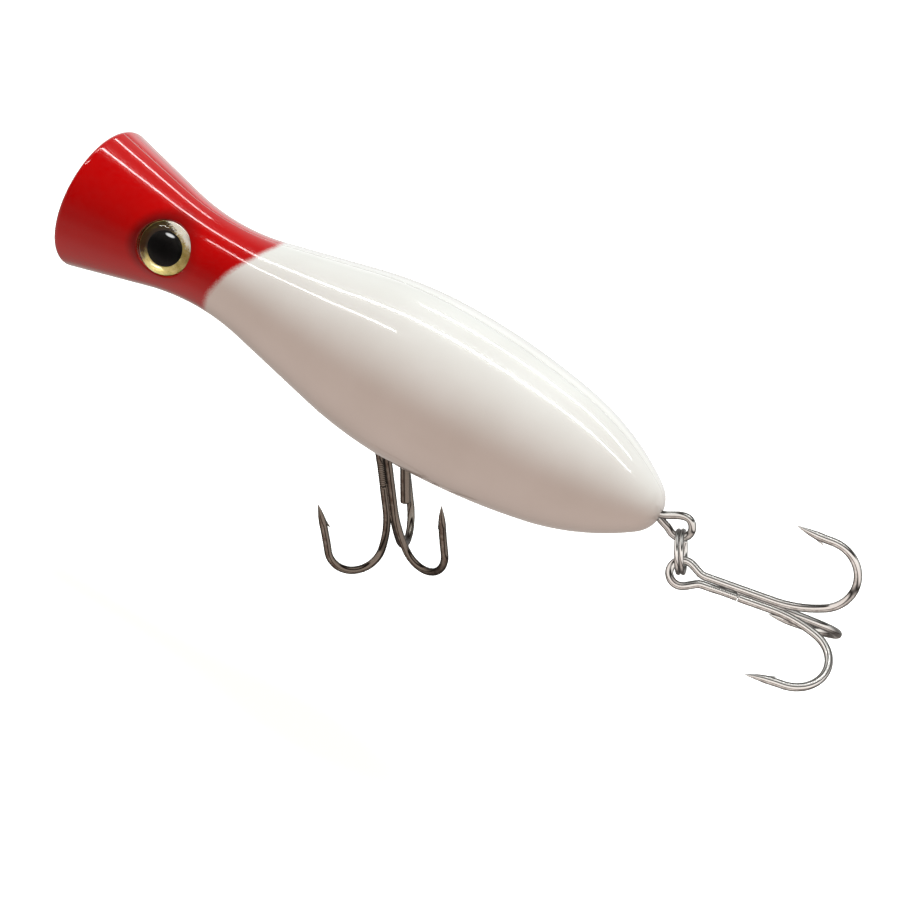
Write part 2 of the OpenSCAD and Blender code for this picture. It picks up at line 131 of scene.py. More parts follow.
def outline():
    """Dense points [x, r] of the body's outline from the bottom of the mouth to the tail tip."""
    cup_edge = math.atan2(LIP_R - CUP_CX, LIP_CR)
    parts = [
        arc(CUP_CX, 0, CUP_R, rad(90), cup_edge),
        arc(LIP_R, LIP_CR, LIP_R, cup_edge + math.pi - 2 * math.pi, FLARE),
        arc(NECK_X, NECK_CR, NECK_ARC, math.pi + FLARE, math.pi - RISE),
        arc(BELLY_X, BELLY_R - BELLY_ARC, BELLY_ARC, -RISE, 0),
        arc(BELLY_X, BELLY_R - BACK_ARC, BACK_ARC, 0, BACK_ANGLE),
        arc(TAIL_CX, TAIL_CR, TAIL_ARC, BACK_ANGLE, TAIL_ANGLE),
        arc(TIP_CX, 0, TIP_R, TAIL_ANGLE, rad(90)),
    ]
    return np.vstack(parts)


OUTLINE = outline()
_first = int(np.argmin(OUTLINE[:400, 0]))
SKIN = OUTLINE[_first:]


def skin_r(x):
    """Radius of the body's outer skin at x."""
    return np.interp(x, SKIN[:, 0], SKIN[:, 1])


def resample(points, spacing):
    """Points along a polyline, with the spacing a function of [x, r] asks for."""
    seg = np.linalg.norm(np.diff(points, axis=0), axis=1)
    s = np.concatenate([[0], np.cumsum(seg)])
    t = np.linspace(0, s[-1], int(s[-1] / 0.02))
    dense = np.column_stack([np.interp(t, s, points[:, k]) for k in range(points.shape[1])])
    want = np.array([1 / spacing(p) for p in dense])
    count = np.concatenate([[0], np.cumsum((want[1:] + want[:-1]) / 2 * np.diff(t))])
    n = max(2, int(round(count[-1])))
    at = np.interp(np.linspace(0, count[-1], n + 1), count, t)
    return np.column_stack([np.interp(at, t, dense[:, k]) for k in range(points.shape[1])])


# ---------------------------------------------------------------- mesh helpers
def mesh_object(name, verts, faces, smooth=True):
    """A mesh object from millimetre points."""
    mesh = bpy.data.meshes.new(name)
    mesh.from_pydata([tuple(float(c) * MM for c in v) for v in verts], [], faces)
    mesh.validate()
    mesh.polygons.foreach_set("use_smooth", [smooth] * len(mesh.polygons))
    mesh.update()
    obj = bpy.data.objects.new(name, mesh)
    bpy.context.scene.collection.objects.link(obj)
    return obj


def grid_faces(rows, cols, closed=False, flip=False):
    faces = []
    for i in range(rows - 1):
        for j in range(cols if closed else cols - 1):
            k = (j + 1) % cols
            f = (i * cols + j, i * cols + k, (i + 1) * cols + k, (i + 1) * cols + j)
            faces.append(f[::-1] if flip else f)
    return faces


def join_parts(parts):
    """Joins [verts, faces] lists into one."""
    verts, faces = [], []
    for v, f in parts:
        base = len(verts)
        verts.extend([tuple(p) for p in v])
        faces.extend([tuple(i + base for i in face) for face in f])
    return verts, faces


def moved(verts, matrix):
    a = np.array(matrix, float)
    return np.asarray(verts, float) @ a[:3, :3].T + a[:3, 3]


def lathe(profile, matrix, sides=96):
    """Turns [r, z] points about the local Z axis. Ends with r 0 are closed by a fan."""
    verts, rows = [], []
    for r, z in profile:
        if r < 1e-6:
            rows.append([len(verts)])
            verts.append((0, 0, z))
        else:
            rows.append(list(range(len(verts), len(verts) + sides)))
            for j in range(sides):
                a = 2 * math.pi * j / sides
                verts.append((r * math.cos(a), r * math.sin(a), z))
    faces = []
    for lower, upper in zip(rows, rows[1:]):
        for j in range(sides):
            k = (j + 1) % sides
            if len(lower) == 1:
                faces.append((lower[0], upper[k], upper[j]))
            elif len(upper) == 1:
                faces.append((lower[j], lower[k], upper[0]))
            else:
                faces.append((lower[j], lower[k], upper[k], upper[j]))
    return [tuple(p) for p in moved(verts, matrix)], faces


def tube(path, radius, sides=24, squash=None):
    """Round wire along points, with a radius per point and no twist. The ends are closed."""
    p = np.asarray(path, float)
    radius = np.broadcast_to(np.asarray(radius, float), (len(p),))
    along = np.gradient(p, axis=0)
    along /= np.linalg.norm(along, axis=1)[:, None]
    u = np.cross(along[0], [0.3, 0.5, 0.81])
    u /= np.linalg.norm(u)
    verts = []
    for i in range(len(p)):
        u = u - along[i] * (u @ along[i])
        u /= np.linalg.norm(u)
        v = np.cross(along[i], u)
        for j in range(sides):
            a = 2 * math.pi * j / sides
            verts.append(p[i] + radius[i] * (u * math.cos(a) + v * math.sin(a)))
    faces = grid_faces(len(p), sides, closed=True, flip=True)
    verts += [p[0], p[-1]]
    first, last = len(verts) - 2, len(verts) - 1
    for j in range(sides):
        k = (j + 1) % sides
        faces.append((first, j, k))
        faces.append((last, (len(p) - 1) * sides + k, (len(p) - 1) * sides + j))
    return verts, faces


def even(path, step):
    """Points at even steps along a polyline."""
    p = np.asarray(path, float)
    s = np.concatenate([[0], np.cumsum(np.linalg.norm(np.diff(p, axis=0), axis=1))])
    t = np.linspace(0, s[-1], max(2, int(round(s[-1] / step)) + 1))
    return np.column_stack([np.interp(t, s, p[:, k]) for k in range(p.shape[1])])


def soften(path, width, step):
    """Rounds the corners of an evenly spaced path. The ends stay."""
    n = int(3 * width / step)
    kernel = np.exp(-0.5 * (np.arange(-n, n + 1) * step / width) ** 2)
    kernel /= kernel.sum()
    p = np.asarray(path, float)
    before = 2 * p[0] - p[n:0:-1]
    after = 2 * p[-1] - p[-2:-n - 2:-1]
    padded = np.vstack([before, p, after])
    return np.column_stack([np.convolve(padded[:, k], kernel, "valid") for k in range(p.shape[1])])


# ---------------------------------------------------------------- placements, as in the CAD source
def shift(x=0.0, y=0.0, z=0.0):
    return Matrix.Translation((x, y, z))


def turn(axis, degrees):
    return Matrix.Rotation(rad(degrees), 4, axis)


EYE_FRAME = (
    turn("X", -math.degrees(EYE_ANGLE))
    @ shift(EYE_X, -EYE_SKIN_R, 0)
    @ turn("Z", math.degrees(EYE_TILT))
    @ turn("X", 90)
)
BELLY_RING = shift(BELLY_EYE_X, 0, BELLY_WIRE_Z) @ turn("X", BELLY_RING_REST)
BELLY_HOOK = (
    BELLY_RING @ shift(0, 0, -RING_HANG - RING_MEAN) @ turn("Y", 90 - 23) @ shift(HOOK_DROP)
    @ turn("X", -17)
)
TAIL_RING = shift(TAIL_LOOP_X) @ turn("Y", 65) @ turn("X", -15)
TAIL_HOOK = (
    TAIL_RING @ shift(TAIL_RING_REACH) @ turn("Z", -10) @ shift(RING_MEAN) @ turn("Y", -71)
    @ shift(HOOK_DROP) @ turn("X", -17)
)
MIRROR = Matrix.Diagonal((1, -1, 1, 1))


# ---------------------------------------------------------------- body shells
FILLET = 0.35
EYE_HOLE = EYE_R + 0.12
RIM_STRIP = 0.12
CAVITY_START = 24.0
CAVITY_WALL = 1.6


def on_skin(matrix, rho, phi, lift=0.0):
    """Point on the skin straight above polar place (rho, phi) of a frame whose +Z looks out."""
    m = np.array(matrix, float)
    base = m[:3, 3] + m[:3, 0] * rho * math.cos(phi) + m[:3, 1] * rho * math.sin(phi)
    out = m[:3, 2]
    lo, hi = -6.0, 8.0
    for _ in range(40):
        mid = (lo + hi) / 2
        q = base + out * mid
        if math.hypot(q[1], q[2]) > skin_r(q[0]):
            hi = mid
        else:
            lo = mid
    return base + out * (lo + lift)


def pocket(matrix, hole_r, floor, phis):
    """Rim, wall and floor of a round pocket sunk into the skin, as rings of points."""
    m = np.array(matrix, float)
    rings = [[on_skin(matrix, hole_r + FILLET + RIM_STRIP, a) for a in phis]]
    for t in np.linspace(0, math.pi / 2, 9):
        rho = hole_r + FILLET * (1 - math.sin(t))
        drop = FILLET * (1 - math.cos(t))
        rings.append([on_skin(matrix, rho, a, -drop) for a in phis])
    wall_top = rings[-1]
    bottom = []
    for p, a in zip(wall_top, phis):
        depth = (np.asarray(p) - m[:3, 3]) @ m[:3, 2]
        bottom.append((np.asarray(p) - m[:3, 2] * (depth - floor), depth))
    for s in (0.25, 0.5, 0.75, 0.97):
        rings.append([np.asarray(p) * (1 - s) + q[0] * s for p, q in zip(wall_top, bottom)])
    for rho in (hole_r - 0.05, hole_r * 0.7, hole_r * 0.35):
        rings.append([
            m[:3, 3] + m[:3, 2] * floor + m[:3, 0] * rho * math.cos(a) + m[:3, 1] * rho * math.sin(a)
            for a in phis
        ])
    return rings


def spacing(p):
    x, r = p
    if x < 3.2 and r > 8.5:
        return 0.12
    if 10.5 < x < 23.5:
        return 0.25
    return 0.5


def shell(name, side):
    """One half shell: skin, inside and the seam faces, with the eye socket and half the recess."""
    outer = resample(OUTLINE, spacing)
    angles = np.radians(np.linspace(-90, 90, 121))

    def sheet(points, flip):
        verts = [
            (x, -r * math.cos(a) if r > 1e-4 else 0.0, r * math.sin(a) if r > 1e-4 else 0.0)
            for x, r in points for a in angles
        ]
        return verts, grid_faces(len(points), len(angles), flip=flip)

    hollow = np.array([(x, max(0.0, skin_r(x) - CAVITY_WALL)) for x in np.linspace(CAVITY_START, 102.6, 90)])
    hollow = np.vstack([[CAVITY_START, 0], hollow, [102.6, 0]])
    parts = [sheet(outer, True), sheet(hollow, False)]
    verts, faces = join_parts(parts)
    obj = mesh_object(name, verts, faces)
    bm = bmesh.new()
    bm.from_mesh(obj.data)
    bmesh.ops.remove_doubles(bm, verts=bm.verts, dist=1e-7)
    seam = [e for e in bm.edges if e.is_boundary]
    made = bmesh.ops.triangle_fill(bm, use_beauty=True, use_dissolve=False, edges=seam)
    for f in made["geom"]:
        if isinstance(f, bmesh.types.BMFace):
            f.smooth = False
    bm.to_mesh(obj.data)
    bm.free()

    holes = [
        (EYE_FRAME, EYE_HOLE + FILLET + RIM_STRIP, -2.4, 4.0),
        (shift(BELLY_EYE_X, 0, -BELLY_R) @ turn("X", 180), RECESS_R + FILLET + RIM_STRIP, -9.0, 4.0),
    ]
    for matrix, r, lo, hi in holes:
        cutter = mesh_object("cutter", *lathe([(0, lo), (r, lo), (r, hi), (0, hi)], matrix, 192), smooth=False)
        mod = obj.modifiers.new("cut", "BOOLEAN")
        mod.operation = "DIFFERENCE"
        mod.solver = "EXACT"
        mod.object = cutter
        done = bpy.data.meshes.new_from_object(
            obj.evaluated_get(bpy.context.evaluated_depsgraph_get())
        )
        obj.modifiers.remove(mod)
        obj.data = done
        bpy.data.objects.remove(cutter)
        bm = bmesh.new()
        bm.from_mesh(obj.data)
        inverse = matrix.inverted()
        gone = []
        for f in bm.faces:
            c = inverse @ (f.calc_center_median() / MM)
            n = inverse.to_3x3() @ f.normal
            wall = abs(math.hypot(c.x, c.y) - r) < 0.03 and abs(n.z) < 0.05
            floor = abs(c.z - lo) < 0.01 and math.hypot(c.x, c.y) < r
            if wall or floor:
                gone.append(f)
        bmesh.ops.delete(bm, geom=gone, context="FACES")
        bm.to_mesh(obj.data)
        bm.free()

    inserts = []
    full = [2 * math.pi * j / 192 for j in range(192)]
    rings = pocket(EYE_FRAME, EYE_HOLE, -EYE_FLOOR, full)
    inserts.append(([p for ring in rings for p in ring], grid_faces(len(rings), 192, closed=True, flip=True)))
    recess = shift(BELLY_EYE_X, 0, -BELLY_R) @ turn("X", 180)
    half = [math.pi * j / 96 for j in range(97)]
    rings = pocket(recess, RECESS_R, -(BELLY_R + RECESS_TOP), half)
    rings.append([np.array([BELLY_EYE_X + 0.6 * math.cos(a), -0.6 * math.sin(a), RECESS_TOP]) for a in half])
    inserts.append(([p for ring in rings for p in ring], grid_faces(len(rings), 97, flip=True)))
    extra = mesh_object("inserts", *join_parts(inserts))
    bm = bmesh.new()
    bm.from_mesh(obj.data)
    bm.from_mesh(extra.data)
    if side > 0:
        bmesh.ops.scale(bm, vec=(1, -1, 1), verts=bm.verts)
        bmesh.ops.reverse_faces(bm, faces=bm.faces)
    bm.to_mesh(obj.data)
    bm.free()
    bpy.data.objects.remove(extra)
    return obj


# ---------------------------------------------------------------- wire parts
def screw_eye(name, matrix, shank, node):
    """Wire bent into a flattened loop that closes under its own shank along +X."""
    start = [(x, 0, 0) for x in np.linspace(shank, 3.4, 20)]
    over = [(2.6, 0, 0.3), (1.7, 0, 0.85), (0.7, 0, 1.42), (-0.2, 0, 1.74)]
    loop = [
        (LOOP_R * math.cos(a), 0, LOOP_R * math.sin(a)) for a in np.linspace(rad(118), rad(322), 66)
    ]
    path = even(start + over + loop + [(2.3, 0, -1.05), (2.9, 0, -0.75), (3.3, 0, -0.62)], 0.1)
    path = soften(path, 0.4, 0.1)
    s = np.arange(len(path)) * 0.1
    taper = 2.4
    point = 0.12 + (WIRE_D / 2 - 0.12) * np.sqrt(np.clip(s / taper, 0, 1))
    radius = np.where(s < taper, point, WIRE_D / 2)
    radius[-2:] *= [0.97, 0.82]
    obj = mesh_object(name, *tube(moved(path, matrix), radius, 28))
    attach(obj, "body")
    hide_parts(node)
    return obj


def split_ring(name, matrix, body, node, start=0.0):
    """Two turns of wire. They change sides beside the two free ends."""
    h = RING_WIRE / 2 + 0.005
    turns = np.linspace(rad(6), rad(714), 420)
    step = np.clip((turns - rad(322)) / rad(76), 0, 1)
    z = -h + 2 * h * (step * step * (3 - 2 * step))
    path = np.column_stack([
        RING_MEAN * np.cos(turns + start), RING_MEAN * np.sin(turns + start), z
    ])
    radius = np.full(len(path), RING_WIRE / 2)
    for k, f in enumerate((0.7, 0.9, 0.98)):
        radius[k] *= f
        radius[-1 - k] *= f
    obj = mesh_object(name, *tube(moved(path, matrix), radius, 20))
    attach(obj, body)
    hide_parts(node)
    return obj


def belly_stub():
    """Bent stub of wire with a flat, slightly rounded end."""
    a = np.linspace(0, STUB_LEAN, 12)
    bend = np.column_stack([
        STUB_X + STUB_BEND_R * (1 - np.cos(a)), 0 * a, STUB_BEND_Z - STUB_BEND_R * np.sin(a)
    ])
    tip = bend[-1] + STUB_REACH * np.array([math.sin(STUB_LEAN), 0, -math.cos(STUB_LEAN)])
    line = even(np.vstack([[(STUB_X, 0, STUB_TOP)], bend, [tip]]), 0.1)
    radius = np.full(len(line), STUB_R)
    radius[-3:] = STUB_R * np.array([0.995, 0.96, 0.84])
    obj = mesh_object("belly_stub_wire", *tube(line, radius, 32))
    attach(obj, "body")
    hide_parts("belly_stub")
    return obj


SHANK_BEND = rad(25)
BEND_RATIO = 1.27
TAPER = 3.6
TWIST = (4.6, 8.2)
SINGLE_START = 9.0
TAIL_SIZE = (14.0, 12.8, 5.5)
BELLY_SIZE = (13.0, 11.0, 8.5)


def prong_path(size):
    """Plane path [x, z] and radius of a prong from the end of the straight shank to the point."""
    bend_x, gap, point = size
    arc_a = BEND_RATIO * bend_x
    tx, tz = bend_x + arc_a * math.sin(SHANK_BEND), arc_a * (1 - math.cos(SHANK_BEND))
    arc_b = (gap - BUNDLE_R - tz) / (1 + math.cos(SHANK_BEND))
    cx, cz = tx - arc_b * math.sin(SHANK_BEND), tz + arc_b * math.cos(SHANK_BEND)
    a = np.linspace(0, SHANK_BEND, 40)
    first = np.column_stack([bend_x + arc_a * np.sin(a), arc_a * (1 - np.cos(a))])
    a = np.linspace(SHANK_BEND - math.pi / 2, math.pi / 2, 120)
    second = np.column_stack([cx + arc_b * np.cos(a), cz + arc_b * np.sin(a)])
    end = np.linspace(cx, cx - point, 60)[1:]
    s = (cx - end) / point
    third = np.column_stack([end, cz + arc_b + 0.55 * s * s])
    path = np.vstack([first, second[1:], third])
    left = np.concatenate([np.zeros(len(first) + len(second) - 1), np.clip((cx - end) - (point - TAPER), 0, None)])
    radius = HOOK_WIRE / 2 * (1 - 0.95 * (left / TAPER) ** 1.6)
    return path, radius


def at_azimuth(path, azimuth):
    a = rad(azimuth)
    x, z = path[:, 0], path[:, 1]
    return np.column_stack([x, BUNDLE_R / 2 - (BUNDLE_R + z) * math.sin(a), (BUNDLE_R + z) * math.cos(a)])


def barb(size, azimuth):
    """Sliver of wire raised on the inner side of a prong, its tip pointing back to the bend."""
    path, _ = prong_path(size)
    foot_x = path[-1, 0] + TAPER * 0.85
    foot = np.array([foot_x, np.interp(foot_x, path[:100:-1, 0], path[:100:-1, 1])])
    pts = foot + np.array([[-1.5, -0.05], [-0.5, -0.22], [0.3, -0.42], [1.45, -1.12]])
    line = even(pts, 0.1)
    radius = np.interp(np.linspace(0, 1, len(line)), [0, 0.35, 0.62, 1], [0.1, 0.3, 0.3, 0.03])
    return tube(at_azimuth(line, azimuth), radius, 12)


def hook_pair(name, matrix, size, body, node):
    side = HOOK_PITCH / 2
    plane, radius = prong_path(size)
    a = at_azimuth(plane, 30)[::-1]
    b = at_azimuth(plane, -90)
    end = HOOK_EYE_R * np.array([math.cos(rad(60)), math.sin(rad(60))])
    kink_x = end[0] + (end[1] - side) * math.tan(rad(60))
    eye = [(HOOK_EYE_R * math.cos(t), 0, HOOK_EYE_R * math.sin(t)) for t in np.linspace(rad(60), rad(300), 80)]
    twist = [
        (TWIST[0] + (TWIST[1] - TWIST[0]) * i / 24, HOOK_PITCH * math.cos(t), side + HOOK_PITCH * math.sin(t))
        for i, t in enumerate(np.linspace(rad(-90), rad(-30), 25))
    ]
    middle = [(size[0] - 0.3, 0, side), (kink_x, 0, side)] + eye + [(kink_x, 0, -side)] + twist
    middle.append((size[0] - 0.3, 1.5 * BUNDLE_R, 0))
    step = 0.12
    middle = soften(even(middle, step), 0.4, step)
    path = np.vstack([a, middle, b])
    radii = np.concatenate([radius[::-1], np.full(len(middle), HOOK_WIRE / 2), radius])
    parts = [tube(moved(path, matrix), radii, 24)]
    for azimuth in (30, -90):
        v, f = barb(size, azimuth)
        parts.append((moved(v, matrix), f))
    obj = mesh_object(name, *join_parts(parts))
    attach(obj, body)
    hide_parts(node)
    return obj


def hook_single(name, matrix, size, body, node):
    plane, radius = prong_path(size)
    line = at_azimuth(plane, 150)
    start = np.array([SINGLE_START, line[0, 1], line[0, 2]])
    run = even([start, line[0]], 0.15)[:-1]
    radii = np.full(len(run), HOOK_WIRE / 2)
    radii[0] *= 0.9
    parts = [tube(moved(np.vstack([run, line]), matrix), np.concatenate([radii, radius]), 24)]
    v, f = barb(size, 150)
    parts.append((moved(v, matrix), f))
    # Braze where the pair's second wire leaves its place, and in the grooves between the shanks
    xs = np.arange(3.4, SINGLE_START - 0.1, 0.07)
    seam = np.column_stack([xs, 0 * xs, 0 * xs - HOOK_PITCH / 2])
    ripple = HOOK_WIRE / 2 - 0.05 + 0.035 * np.sin(xs * 19)
    parts.append((moved(np.array(tube(seam, ripple, 20)[0]), matrix), tube(seam, ripple, 20)[1]))
    centre = np.array([0, BUNDLE_R / 2, 0])
    rng = np.random.default_rng(7)
    for azimuth in (90, -30, 210):
        a = rad(azimuth)
        out = np.array([0, -math.sin(a), math.cos(a)])
        xs = np.arange(SINGLE_START - 0.5, size[0] + 2.4, 0.1)
        wobble = np.convolve(rng.normal(0, 0.05, len(xs)), np.ones(5) / 5, "same")
        lump = 0.27 + wobble
        lump[:4] *= [0.2, 0.6, 0.85, 0.95]
        lump[-12:] *= np.linspace(1, 0.1, 12)
        rise = 0.42 + 0.2 * np.clip((xs - size[0]) / 2.4, 0, 1)
        pts = centre + out * (BUNDLE_R * rise)[:, None] + np.column_stack([xs, 0 * xs, 0 * xs])
        parts.append((moved(np.array(tube(pts, lump + 0.06, 14)[0]), matrix), tube(pts, lump, 14)[1]))
    obj = mesh_object(name, *join_parts(parts))
    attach(obj, body)
    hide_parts(node)
    return obj


# ---------------------------------------------------------------- materials
class Nodes:
    """Short hand for building a node tree."""

    def __init__(self, name):
        self.mat = bpy.data.materials.new(name)
        self.mat.use_nodes = True
        self.tree = self.mat.node_tree
        self.tree.nodes.clear()
        self.out = self.tree.nodes.new("ShaderNodeOutputMaterial")

    def add(self, kind, settings=None, **inputs):
        node = self.tree.nodes.new(kind)
        for key, value in (settings or {}).items():
            setattr(node, key, value)
        for key, value in inputs.items():
            self.feed(node, key.replace("_", " "), value)
        return node

    def feed(self, node, key, value):
        socket = node.inputs[int(key)] if key.isdigit() else node.inputs[key]
        if isinstance(value, bpy.types.NodeSocket):
            self.tree.links.new(value, socket)
        elif isinstance(value, bpy.types.Node):
            self.tree.links.new(value.outputs[0], socket)
        else:
            socket.default_value = value

    def math(self, op, a, b=0.0, clamp=False):
        node = self.add("ShaderNodeMath", {"operation": op, "use_clamp": clamp})
        self.feed(node, "0", a)
        self.feed(node, "1", b)
        return node.outputs[0]

    def place(self):
        return self.add("ShaderNodeTexCoord").outputs["Object"]

    def noise(self, scale, detail=3.0, rough=0.55, stretch=None):
        """Noise in 1/mm, in the piece's own frame."""
        vector = self.add("ShaderNodeMapping")
        self.feed(vector, "Vector", self.place())
        k = scale / MM
        vector.inputs["Scale"].default_value = [k * c for c in (stretch or (1, 1, 1))]
        node = self.add("ShaderNodeTexNoise")
        self.feed(node, "Vector", vector)
        node.inputs["Scale"].default_value = 1.0
        node.inputs["Detail"].default_value = detail
        node.inputs["Roughness"].default_value = rough
        return node.outputs[0]

    def span(self, value, lo, hi, to_lo=0.0, to_hi=1.0, smooth=False):
        node = self.add("ShaderNodeMapRange", {"interpolation_type": "SMOOTHSTEP" if smooth else "LINEAR"})
        self.feed(node, "0", value)
        for key, v in zip("1234", (lo, hi, to_lo, to_hi)):
            self.feed(node, key, v)
        return node.outputs[0]

    def mix(self, factor, a, b):
        node = self.add("ShaderNodeMix", {"data_type": "RGBA"})
        self.feed(node, "0", factor)
        self.feed(node, "6", a)
        self.feed(node, "7", b)
        return node.outputs[2]

    def bump(self, height, strength, distance):
        node = self.add("ShaderNodeBump")
        self.feed(node, "Strength", strength)
        self.feed(node, "Distance", distance * MM)
        self.feed(node, "Height", height)
        return node.outputs[0]

    def finish(self, shader):
        self.tree.links.new(shader.outputs[0], self.out.inputs[0])
        return self.mat


def eye_offset(m):
    """Place in mm along X and Z from the middle of the eyes, the same on both sides."""
    x, _, z = m.add("ShaderNodeSeparateXYZ", Vector=m.place()).outputs
    u = m.math("SUBTRACT", m.math("MULTIPLY", x, 1 / MM), EYE_X)
    w = m.math("SUBTRACT", m.math("MULTIPLY", z, 1 / MM), EYE_SKIN_R * math.sin(EYE_ANGLE))
    return u, w


def paint():
    """Red head and white body under clear lacquer, with the soft edge of a sprayed mask, and painted shade on the red
    around the eye socket.
    """
    m = Nodes("head_and_body_paint")
    place = m.add("ShaderNodeSeparateXYZ", Vector=m.place())
    x, y, z = place.outputs
    r = m.math("SQRT", m.math("ADD", m.math("MULTIPLY", y, y), m.math("MULTIPLY", z, z)))
    s = m.math("DIVIDE", z, m.math("MAXIMUM", r, 0.5 * MM))
    edge = m.math("ADD", m.math("MULTIPLY", s, 3.2), m.math("MULTIPLY", m.math("MULTIPLY", s, s), 1.8))
    edge = m.math("ADD", edge, 27.6)
    edge = m.math("ADD", edge, m.span(m.noise(0.35, 2), 0, 1, -0.35, 0.35))
    past = m.math("SUBTRACT", m.math("MULTIPLY", x, 1 / MM), edge)
    grain = m.span(m.noise(6.0, 2), 0.2, 0.8, -0.35, 0.35)
    white = m.span(m.math("ADD", past, grain), -0.75, 0.75, smooth=True)
    red = m.mix(m.span(m.noise(0.12, 3), 0.3, 0.7), (0.55, 0.0, 0.001, 1), (0.60, 0.001, 0.001, 1))
    # Painted shade: the red darkens in a ring around the eye socket, most towards the mouth and above.
    u, w = eye_offset(m)
    near = m.math("SQRT", m.math("ADD", m.math("MULTIPLY", u, u), m.math("MULTIPLY", w, w)))
    front = m.math("SUBTRACT", m.math("MULTIPLY", w, 0.35), m.math("MULTIPLY", u, 0.93))
    shade = m.math("MULTIPLY", m.span(near, EYE_R + 2.2, EYE_R + 0.1, smooth=True),
                   m.span(front, -EYE_R, EYE_R * 1.2, 0.25, 1.0))
    red = m.mix(m.math("MULTIPLY", shade, 0.85), red, (0.11, 0.004, 0.004, 1))
    body = m.mix(m.span(m.noise(0.1, 3), 0.3, 0.7), (0.83, 0.81, 0.785, 1), (0.87, 0.855, 0.835, 1))
    colour = m.mix(white, red, body)
    peel = m.noise(0.9, 2, 0.4)
    speck = m.noise(9.0, 2, 0.6)
    rough = m.span(m.noise(1.4, 4), 0.3, 0.7, 0.10, 0.2)
    shader = m.add("ShaderNodeBsdfPrincipled")
    m.feed(shader, "Base Color", colour)
    m.feed(shader, "Roughness", rough)
    m.feed(shader, "IOR", 1.5)
    m.feed(shader, "Coat Weight", 1.0)
    m.feed(shader, "Coat Roughness", m.span(m.noise(2.0, 3), 0.3, 0.7, 0.02, 0.05))
    m.feed(shader, "Coat IOR", 1.5)
    m.feed(shader, "Subsurface Weight", 0.0)
    m.feed(shader, "Normal", m.bump(speck, 0.12, 0.01))
    m.feed(shader, "Coat Normal", m.bump(peel, 0.1, 0.02))
    return m.finish(shader)


# Strength of the painted shade at the metals' grazing edges
EDGE_SHADE = 0.93
EDGE_TINT = (0.12, 0.10, 0.09, 1)
# Middle and half size in mm of the painted highlight on the pupils
GLINT_AT = (-0.2, 1.85)
GLINT_HALF = (0.75, 0.26)
# Painted reflection bands on metal: reflected height from, to, and brightness as a share of the light colour, None for
# near black
PAINTED_REFLECTION_BANDS = ((-0.5, -0.3, None), (-0.3, -0.1, 1.0), (0.5, 0.68, None), (0.78, 1.0, 0.6))


def metal(name, dark, light, rough, speckle=0.0, share=1.0, glow=0.0):
    """Plated metal with worn patches. Bands by reflected height are painted reflections that stand for a white studio's
    cards, grazing edges get painted shade, and glow adds painted light.
    """
    m = Nodes(name)
    black = tuple(c * 0.08 for c in dark[:3]) + (1,)
    patches = m.span(m.noise(1.1, 4), 0.3, 0.7)
    colour = m.mix(patches, dark, light)
    # Painted reflection: bands of the reflected height turn the colour near black or to a share of the light colour.
    split = m.add("ShaderNodeSeparateXYZ", Vector=m.add("ShaderNodeTexCoord").outputs["Reflection"])
    height = split.outputs["Z"]
    for lo, hi, shade in PAINTED_REFLECTION_BANDS:
        part = m.span(height, lo, hi, smooth=True)
        target = black if shade is None else tuple(c * shade for c in light[:3]) + (1,)
        colour = m.mix(part, colour, target)
    # Painted shade: the colour darkens towards black at grazing edges.
    edge = m.span(m.add("ShaderNodeLayerWeight", Blend=0.5).outputs["Facing"], 0.1, 0.5, smooth=True)
    colour = m.mix(m.math("MULTIPLY", edge, EDGE_SHADE), colour, black)
    if speckle:
        spots = m.span(m.noise(11.0, 3, 0.7), 0.5, 0.7)
        colour = m.mix(m.math("MULTIPLY", spots, speckle), colour, black)
    shader = m.add("ShaderNodeBsdfPrincipled")
    m.feed(shader, "Base Color", colour)
    m.feed(shader, "Metallic", share)
    m.feed(shader, "Specular Tint", EDGE_TINT)
    # Painted light: the colour glows by glow.
    m.feed(shader, "Emission Color", colour)
    m.feed(shader, "Emission Strength", glow)
    m.feed(shader, "Roughness", m.span(m.noise(3.0, 4), 0.3, 0.7, rough[0], rough[1]))
    m.feed(shader, "Normal", m.bump(m.noise(7.0, 3, 0.6), 0.25, 0.02))
    return m.finish(shader)


